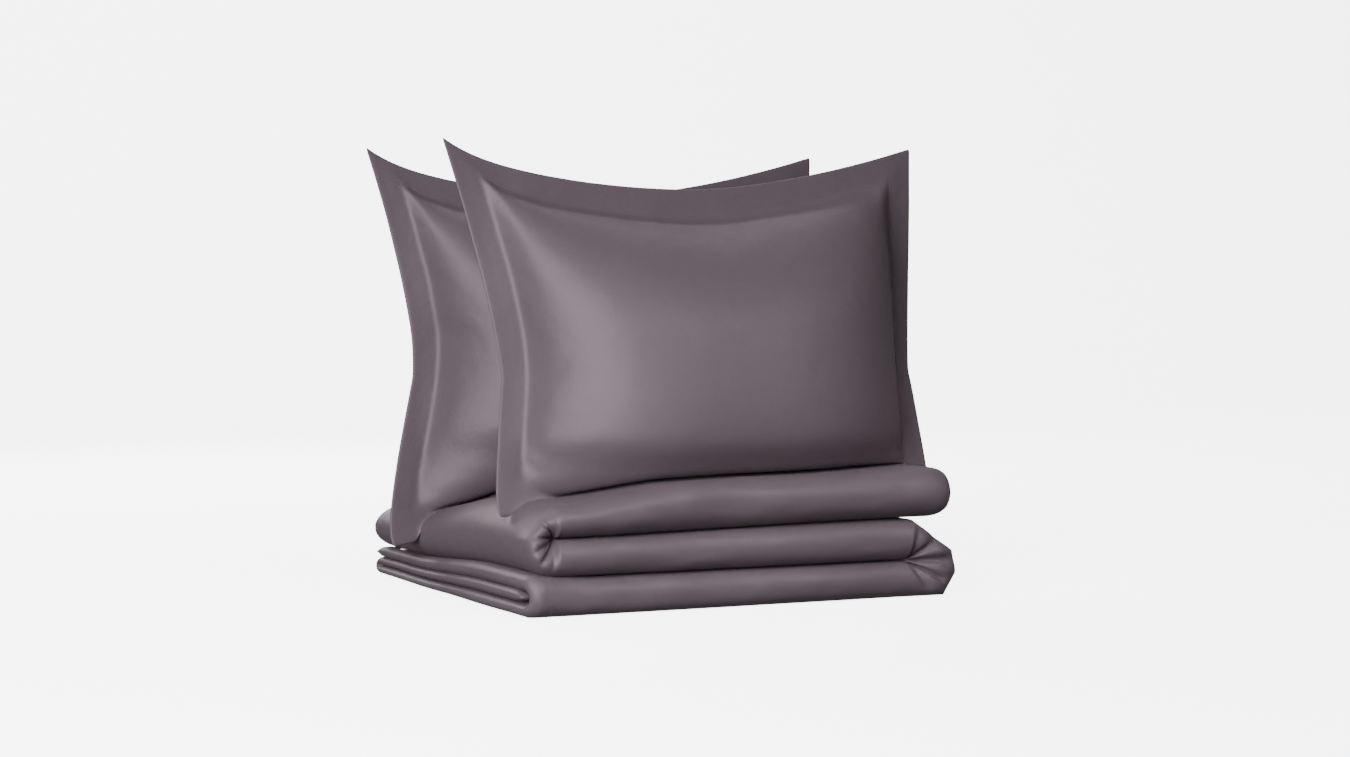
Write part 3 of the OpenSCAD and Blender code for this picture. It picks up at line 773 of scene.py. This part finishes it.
            # flange and pocket alike wave a little where nothing holds them
            free = (full <= 0)
            wave = ripple(mid, 0.11, 21) * 0.0030 + ripple(mid, 0.045, 22) * 0.0008
            y += wave * np.clip(1 - full / 0.6, 0, 1)
            y += self.y0 + math.tan(s.lean) * z + self.low_left * 0.45 * between(-z, -0.40, 0.02)
            z += self.z0
            hits = (duvet.ray_cast(Vector((float(u), float(v), 0.30)), Vector((0, 0, -1)))
                    for u, v in zip(x.ravel(), y.ravel()))
            ground = np.array([hit[0].z if hit[0] else 0.0 for hit in hits]).reshape(x.shape)
            tucked = 1 - between(np.abs(mid[..., 0]), 0.19, 0.27)
            under = 0.0002 + (0.0 if side > 0 else 0.0026) * tucked
            gap = np.where(bottom > 0, under, lerp(0.0022, 0.0045, tucked))
            soft = np.where(free, 0.002, 0.005)
            d = z - (ground + gap)
            z = ground + gap + np.where(d > soft, d, soft * np.exp(np.clip(d / soft - 1, -8, 0)))
            both.append(np.stack([x, y, z], -1))
        return both

    def faces(self):
        return slab_faces(self.nz + 1, self.nx + 1)


def resampled(grids, share):
    """The same surfaces read over their middle part only, so that they end short of the seams."""
    rows, cols = grids.shape[1:3]
    r = (rows - 1) / 2 + (np.arange(rows) - (rows - 1) / 2) * share
    c = (cols - 1) / 2 + (np.arange(cols) - (cols - 1) / 2) * share
    r0, c0 = np.clip(r.astype(int), 0, rows - 2), np.clip(c.astype(int), 0, cols - 2)
    fr, fc = (r - r0)[None, :, None, None], (c - c0)[None, None, :, None]
    low = lerp(grids[:, r0][:, :, c0], grids[:, r0][:, :, c0 + 1], fc)
    high = lerp(grids[:, r0 + 1][:, :, c0], grids[:, r0 + 1][:, :, c0 + 1], fc)
    return lerp(low, high, fr)


def pocket_mask(sham):
    """True for each point of a grid that lies on the pocket, seam included."""
    j, i = np.mgrid[0:sham.nz + 1, 0:sham.nx + 1]
    k = sham.k
    return (i >= k) & (i <= sham.nx - k) & (j >= k) & (j <= sham.nz - k)


CLOTH_FRAMES = 24
CLOTH_RULES = {
    "quality": 6, "mass": 0.25, "tension_stiffness": 40, "compression_stiffness": 40,
    "shear_stiffness": 15, "bending_stiffness": 0.6, "air_damping": 3, "shrink_min": -0.022,
    "use_pressure": True, "uniform_pressure_force": 5.0, "vertex_group_pressure": "pressed",
    "vertex_group_mass": "held", "pin_stiffness": 5,
}


def relax_cloth(piece, sham, cap):
    """Cloth simulation: the sham's cloth, cut slightly full, settles over its filling."""
    start = vertex_values(piece.data, "co")
    resting = start[:, 2] < start[:, 2].min() + 0.004
    for name, chosen in (("pressed", np.tile(pocket_mask(sham).ravel(), 2)), ("held", resting)):
        group = piece.vertex_groups.new(name=name)
        group.add(np.nonzero(chosen)[0].tolist(), 1.0, "REPLACE")
    cloth = piece.modifiers.new("Cloth", "CLOTH")
    for name, value in CLOTH_RULES.items():
        setattr(cloth.settings, name, value)
    cloth.settings.effector_weights.gravity = 0.0
    cloth.collision_settings.use_collision = False
    cloth.point_cache.frame_start = 1
    cloth.point_cache.frame_end = CLOTH_FRAMES
    scene = bpy.context.scene
    for step in range(1, CLOTH_FRAMES + 1):
        scene.frame_set(step)
    graph = bpy.context.evaluated_depsgraph_get()
    moved = vertex_values(piece.evaluated_get(graph).to_mesh(), "co")
    piece.modifiers.clear()
    piece.vertex_groups.clear()
    scene.frame_set(1)
    shift = moved - start
    # no point moves further than the cap, and the flange's outer edge and the resting edge stay
    far = np.linalg.norm(shift, axis=1, keepdims=True)
    shift *= np.minimum(1, cap / np.maximum(far, 1e-9))
    free = between(start[:, 2], sham.z0 + 0.005, sham.z0 + 0.06)[:, None]
    j, i = np.mgrid[0:sham.nz + 1, 0:sham.nx + 1]
    inward = np.minimum(np.minimum(i, sham.nx - i), np.minimum(j, sham.nz - j)) / sham.k
    share = np.clip(inward, 0, 1) * 0.35 + 0.65 * smooth((inward - 1) / 0.8)
    free = free * np.tile(share.ravel(), 2)[:, None]
    piece.data.vertices.foreach_set("co", (start + shift * free).ravel())
    piece.data.update()


def stitch_tree():
    """Geometry Nodes: one stitch of thread after another along a line of edges."""
    tree = bpy.data.node_groups.new("Line of stitches", "GeometryNodeTree")
    face = tree.interface
    face.new_socket("Geometry", in_out="INPUT", socket_type="NodeSocketGeometry")
    for name, default in (("Spacing", 0.0038), ("Stitch length", 0.0028), ("Thread", 0.0007)):
        socket = face.new_socket(name, in_out="INPUT", socket_type="NodeSocketFloat")
        socket.default_value = default
        socket.subtype = "DISTANCE"
    face.new_socket("Material", in_out="INPUT", socket_type="NodeSocketMaterial")
    face.new_socket("Geometry", in_out="OUTPUT", socket_type="NodeSocketGeometry")
    inputs = add(tree, "NodeGroupInput")
    curve = add(tree, "GeometryNodeMeshToCurve", {"Mesh": inputs.outputs["Geometry"]})
    points = add(tree, "GeometryNodeCurveToPoints", {"Curve": curve.outputs["Curve"],
                                                     "Length": inputs.outputs["Spacing"]}, mode="LENGTH")
    # one stitch: a short thread with rounded, tucked-down ends
    stitch = add(tree, "GeometryNodeMeshUVSphere", Segments=6, Rings=5, Radius=0.5)
    size = add(tree, "ShaderNodeCombineXYZ", {"X": inputs.outputs["Thread"], "Y": inputs.outputs["Thread"],
                                              "Z": inputs.outputs["Stitch length"]})
    shaped = add(tree, "GeometryNodeTransform", {"Geometry": stitch.outputs["Mesh"],
                                                 "Scale": size.outputs["Vector"]})
    sewn = add(tree, "GeometryNodeInstanceOnPoints", {"Points": points.outputs["Points"],
                                                      "Instance": shaped.outputs["Geometry"],
                                                      "Rotation": points.outputs["Rotation"]})
    real = add(tree, "GeometryNodeRealizeInstances", {"Geometry": sewn.outputs["Instances"]})
    dyed = add(tree, "GeometryNodeSetMaterial", {"Geometry": real.outputs["Geometry"],
                                                 "Material": inputs.outputs["Material"]})
    add(tree, "NodeGroupOutput", {"Geometry": dyed.outputs["Geometry"]})
    return tree


def stitched_line(name, lines, sizes, body):
    """Stitches along polylines, as one plain mesh."""
    verts, edges = [], []
    for line in lines:
        base = len(verts)
        verts += [tuple(map(float, q)) for q in line]
        edges += [(base + i, base + i + 1) for i in range(len(line) - 1)]
    mesh = bpy.data.meshes.new(name)
    mesh.from_pydata(verts, edges, [])
    piece = bpy.data.objects.new(name, mesh)
    bpy.context.scene.collection.objects.link(piece)
    tree = bpy.data.node_groups.get("Line of stitches") or stitch_tree()
    nodes = piece.modifiers.new("Stitches", "NODES")
    nodes.node_group = tree
    values = {"Spacing": sizes.stitch_gap, "Stitch length": sizes.stitch, "Thread": sizes.thread,
              "Material": material_for("thread")}
    for item in tree.interface.items_tree:
        if item.in_out == "INPUT" and item.name in values:
            nodes[item.identifier] = values[item.name]
    apply_modifiers(piece)
    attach(piece, body)
    return piece


PANEL_SHARE = 0.74                         # how far the back panel reaches, as a share of the width
PANEL_INNER, PANEL_OUTER = 0.0004, 0.0016  # heights of the back panel's two faces over the sham
HEM_CELLS, HEM_STEP = 4, 0.0006            # width of its hem in cells, and how much thicker it is


def make_pillow(which):
    """One filled sham with its back panel, its stitching and the pillow inside."""
    sizes = bpy.context.scene.bedding_pillow
    body = which + "_pillow"
    low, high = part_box(which + "_sham_flange")
    sham = Sham(sizes, (low[0] + high[0]) / 2, low[1] - SEAM_FORWARD, COVER_HIGH[2] + REST_GAP,
                LOW_LEFT_SAG[which])
    points = np.concatenate([g.reshape(-1, 3) for g in sham.shape()])
    piece = piece_from(which + "_sham", points, sham.faces(), material_for("sateen"), body)
    relax_cloth(piece, sham, sizes.move_cap)
    grid = (2, sham.nz + 1, sham.nx + 1, 3)
    settled = vertex_values(piece.data, "co").reshape(grid)
    normals = vertex_values(piece.data, "normal").reshape(grid)
    k, top, right = sham.k, sham.nz - sham.k, sham.nx - sham.k

    # inner pillow: casing and filling, inside the pocket
    pocket = settled[:, k:top + 1, k:right + 1]
    for name, inset, kind, slot, nodes in (
            ("_pillow_casing", 0.005, "ticking", "insert_cotton", ("_ticking_face", "_ticking_back")),
            ("_pillow_filling", 0.009, "fibre", "hollow_fibre", ("_pillow_fill",))):
        drawn = resampled(pocket, 1 - inset * 10)
        core, half = (drawn[0] + drawn[1]) / 2, (drawn[1] - drawn[0]) / 2
        deep = np.linalg.norm(half, axis=-1, keepdims=True)
        less = half * np.clip(1 - inset / np.maximum(deep, 1e-6), 0.05, 1)
        inside = np.stack([core - less, core + less])
        inner = piece_from(which + name, inside.reshape(-1, 3), slab_faces(*pocket.shape[1:3]),
                           material_for(kind), body)
        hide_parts(*(which + m for m in nodes))

    # stitching round the pocket, on the flange just outside the seam
    front = settled[0]
    line = np.array([lerp(front[j, k], front[j, k - 1], OUT_FROM_SEAM) for j in range(k, top + 1)]
                    + [lerp(front[top, i], front[top + 1, i], OUT_FROM_SEAM)
                       for i in range(k, right + 1)]
                    + [lerp(front[j, right], front[j, right + 1], OUT_FROM_SEAM)
                       for j in range(top, k - 1, -1)])
    line[:, 1] -= 0.0003
    stitches = stitched_line(which + "_flange_stitches", [line], sizes, body)
    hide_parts(which + "_flange_stitching")

    refine(piece)
    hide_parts(which + "_sham_face", which + "_sham_flange", which + "_sham_flap")

    # the back panel of the envelope opening, a hemmed sheet over the flap
    opening = round(sham.nx * PANEL_SHARE)
    b = settled[1][k:top + 1, k:opening + 1]
    nb = normals[1][k:top + 1, k:opening + 1]
    rows, cols = b.shape[:2]
    hem = np.zeros((rows, cols, 1))
    hem[:, -HEM_CELLS:] = HEM_STEP
    outside = b + nb * (PANEL_OUTER + hem)
    inside = b + nb * PANEL_INNER
    sheet = np.concatenate([inside.reshape(-1, 3), outside.reshape(-1, 3)])
    panel = piece_from(which + "_sham_back_panel", sheet, slab_faces(rows, cols),
                       material_for("sateen"), body)
    refine(panel)
    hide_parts(which + "_sham_back")
    hem_line = outside[:, -HEM_CELLS] + nb[:, -HEM_CELLS] * 0.0002
    stitched_line(which + "_opening_stitches", [hem_line], sizes, body)


class BEDDING_OT_front_pillow(bpy.types.Operator):
    """Build the front pillow, its sham and its stitching"""
    bl_idname = "bedding.front_pillow"
    bl_label = "Front Pillow"

    def execute(self, context):
        make_pillow("front")
        return {"FINISHED"}


class BEDDING_OT_rear_pillow(bpy.types.Operator):
    """Build the rear pillow, its sham and its stitching"""
    bl_idname = "bedding.rear_pillow"
    bl_label = "Rear Pillow"

    def execute(self, context):
        make_pillow("rear")
        return {"FINISHED"}


class BEDDING_OT_finish_cad_nodes(bpy.types.Operator):
    """Give the closure buttons, kept from the CAD model, their material"""
    bl_idname = "bedding.finish_cad_nodes"
    bl_label = "Small Parts"

    def execute(self, context):
        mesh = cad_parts["closure_buttons"].data
        mesh.materials.clear()
        mesh.materials.append(material_for("button"))
        return {"FINISHED"}


# ---- stage --------------------------------------------------------------------------

CAMERA_LENS, CAMERA_PLACE = 68.96, (-1.62, -3.549, 0.446)    # millimetres, and metres
CAMERA_YAW_PITCH = (25.0, 1.98)    # degrees to the right of +Y, and down

# name, azimuth and elevation in degrees, distance and size in metres, power in watts, and for
# some the point they face and the spread of their beam in degrees
LIGHTS = (
    ("key", -48, 15, 3.4, (2.3, 3.0), 262),
    ("front low", 14, 44, 1.7, (1.1, 0.25), 1.2, (0.0, -0.32, 0.07), 35),
    ("back", 185, 30, 3.4, (3.0, 2.0), 110),
    ("overhead", 0, 86, 3.4, (4.0, 4.0), 16),
    ("backdrop", 0, 50, 5.5, (8.0, 2.0), 350, (0.0, 7.0, 1.0)),
)


class BEDDING_OT_stage(bpy.types.Operator):
    """Set the floor, the soft lights and the camera"""
    bl_idname = "bedding.stage"
    bl_label = "Stage"

    def execute(self, context):
        scene = context.scene
        # paper sweep: flat under the object, curving up far behind it
        reach, back, bend = 9.0, 7.0, 2.5
        profile = [(-9.0, 0.0), (back - bend, 0.0)]
        profile += [(back - bend + bend * math.sin(t), bend - bend * math.cos(t))
                    for t in np.linspace(0, math.pi / 2, 25)[1:]]
        profile.append((back, 8.0))
        points = [(x, float(y), float(z)) for y, z in profile for x in (-reach, reach)]
        faces = [(2 * k, 2 * k + 1, 2 * k + 3, 2 * k + 2) for k in range(len(profile) - 1)]
        floor_mesh = bpy.data.meshes.new("floor")
        floor_mesh.from_pydata(points, [], faces)
        floor_mesh.polygons.foreach_set("use_smooth", [True] * len(faces))
        floor_mesh.materials.append(material_for("floor"))
        floor = bpy.data.objects.new("floor", floor_mesh)
        scene.collection.objects.link(floor)
        floor.visible_diffuse = floor.visible_glossy = False    # the paper's glow stays off the cloth

        world = bpy.data.worlds.new("Studio")
        world.use_nodes = True
        sky = world.node_tree.nodes["Background"].inputs
        sky["Color"].default_value = (1.0, 1.0, 1.0, 1.0)
        sky["Strength"].default_value = 0.15
        scene.world = world

        def soft_box(name, azimuth, elevation, distance, size, power, target=(0.0, 0.0, 0.30),
                     spread=180):
            light = bpy.data.lights.new(name, "AREA")
            light.shape = "RECTANGLE"
            light.size, light.size_y = size
            light.energy = power
            light.spread = math.radians(spread)
            lamp = bpy.data.objects.new(name, light)
            a, e = math.radians(azimuth), math.radians(elevation)
            target = Vector(target)
            away = Vector((math.sin(a) * math.cos(e), -math.cos(a) * math.cos(e), math.sin(e)))
            lamp.location = target + distance * away
            lamp.rotation_euler = (target - lamp.location).to_track_quat("-Z", "Y").to_euler()
            scene.collection.objects.link(lamp)

        for setting in LIGHTS:
            soft_box(*setting)

        camera = bpy.data.objects.new("camera", bpy.data.cameras.new("camera"))
        camera.data.sensor_width = 36.0
        camera.data.lens = CAMERA_LENS
        camera.location = CAMERA_PLACE
        yaw, pitch = (math.radians(angle) for angle in CAMERA_YAW_PITCH)
        ahead = Vector((math.sin(yaw) * math.cos(pitch), math.cos(yaw) * math.cos(pitch),
                        -math.sin(pitch)))
        camera.rotation_euler = ahead.to_track_quat("-Z", "Y").to_euler()
        scene.collection.objects.link(camera)
        scene.camera = camera
        return {"FINISHED"}


OPERATORS = (BEDDING_OT_stage, BEDDING_OT_duvet_cover, BEDDING_OT_duvet_insert, BEDDING_OT_front_pillow,
             BEDDING_OT_rear_pillow, BEDDING_OT_finish_cad_nodes)


class BEDDING_PT_panel(bpy.types.Panel):
    """Lists the steps that build the bedding"""
    bl_idname = "BEDDING_PT_panel"
    bl_label = "Folded Bedding"
    bl_space_type = "VIEW_3D"
    bl_region_type = "UI"
    bl_category = "Bedding"

    def draw(self, context):
        for group in ("bedding_duvet", "bedding_pillow", "bedding_colours"):
            box = self.layout.box()
            settings = getattr(context.scene, group)
            for name in settings.__annotations__:
                box.prop(settings, name)
        for operator in OPERATORS:
            self.layout.operator(operator.bl_idname)


CLASSES = (DuvetSizes, PillowSizes, ClothColours, *OPERATORS, BEDDING_PT_panel)


def register():
    for cls in CLASSES:
        bpy.utils.register_class(cls)
    bpy.types.Scene.bedding_duvet = PointerProperty(type=DuvetSizes)
    bpy.types.Scene.bedding_pillow = PointerProperty(type=PillowSizes)
    bpy.types.Scene.bedding_colours = PointerProperty(type=ClothColours)


def unregister():
    for name in ("bedding_colours", "bedding_pillow", "bedding_duvet"):
        delattr(bpy.types.Scene, name)
    for cls in reversed(CLASSES):
        bpy.utils.unregister_class(cls)


def main():
    register()
    bpy.ops.bedding.stage()
    bpy.ops.bedding.duvet_cover()
    bpy.ops.bedding.duvet_insert()
    bpy.ops.bedding.front_pillow()
    bpy.ops.bedding.rear_pillow()
    bpy.ops.bedding.finish_cad_nodes()


if __name__ == "__main__":
    main()
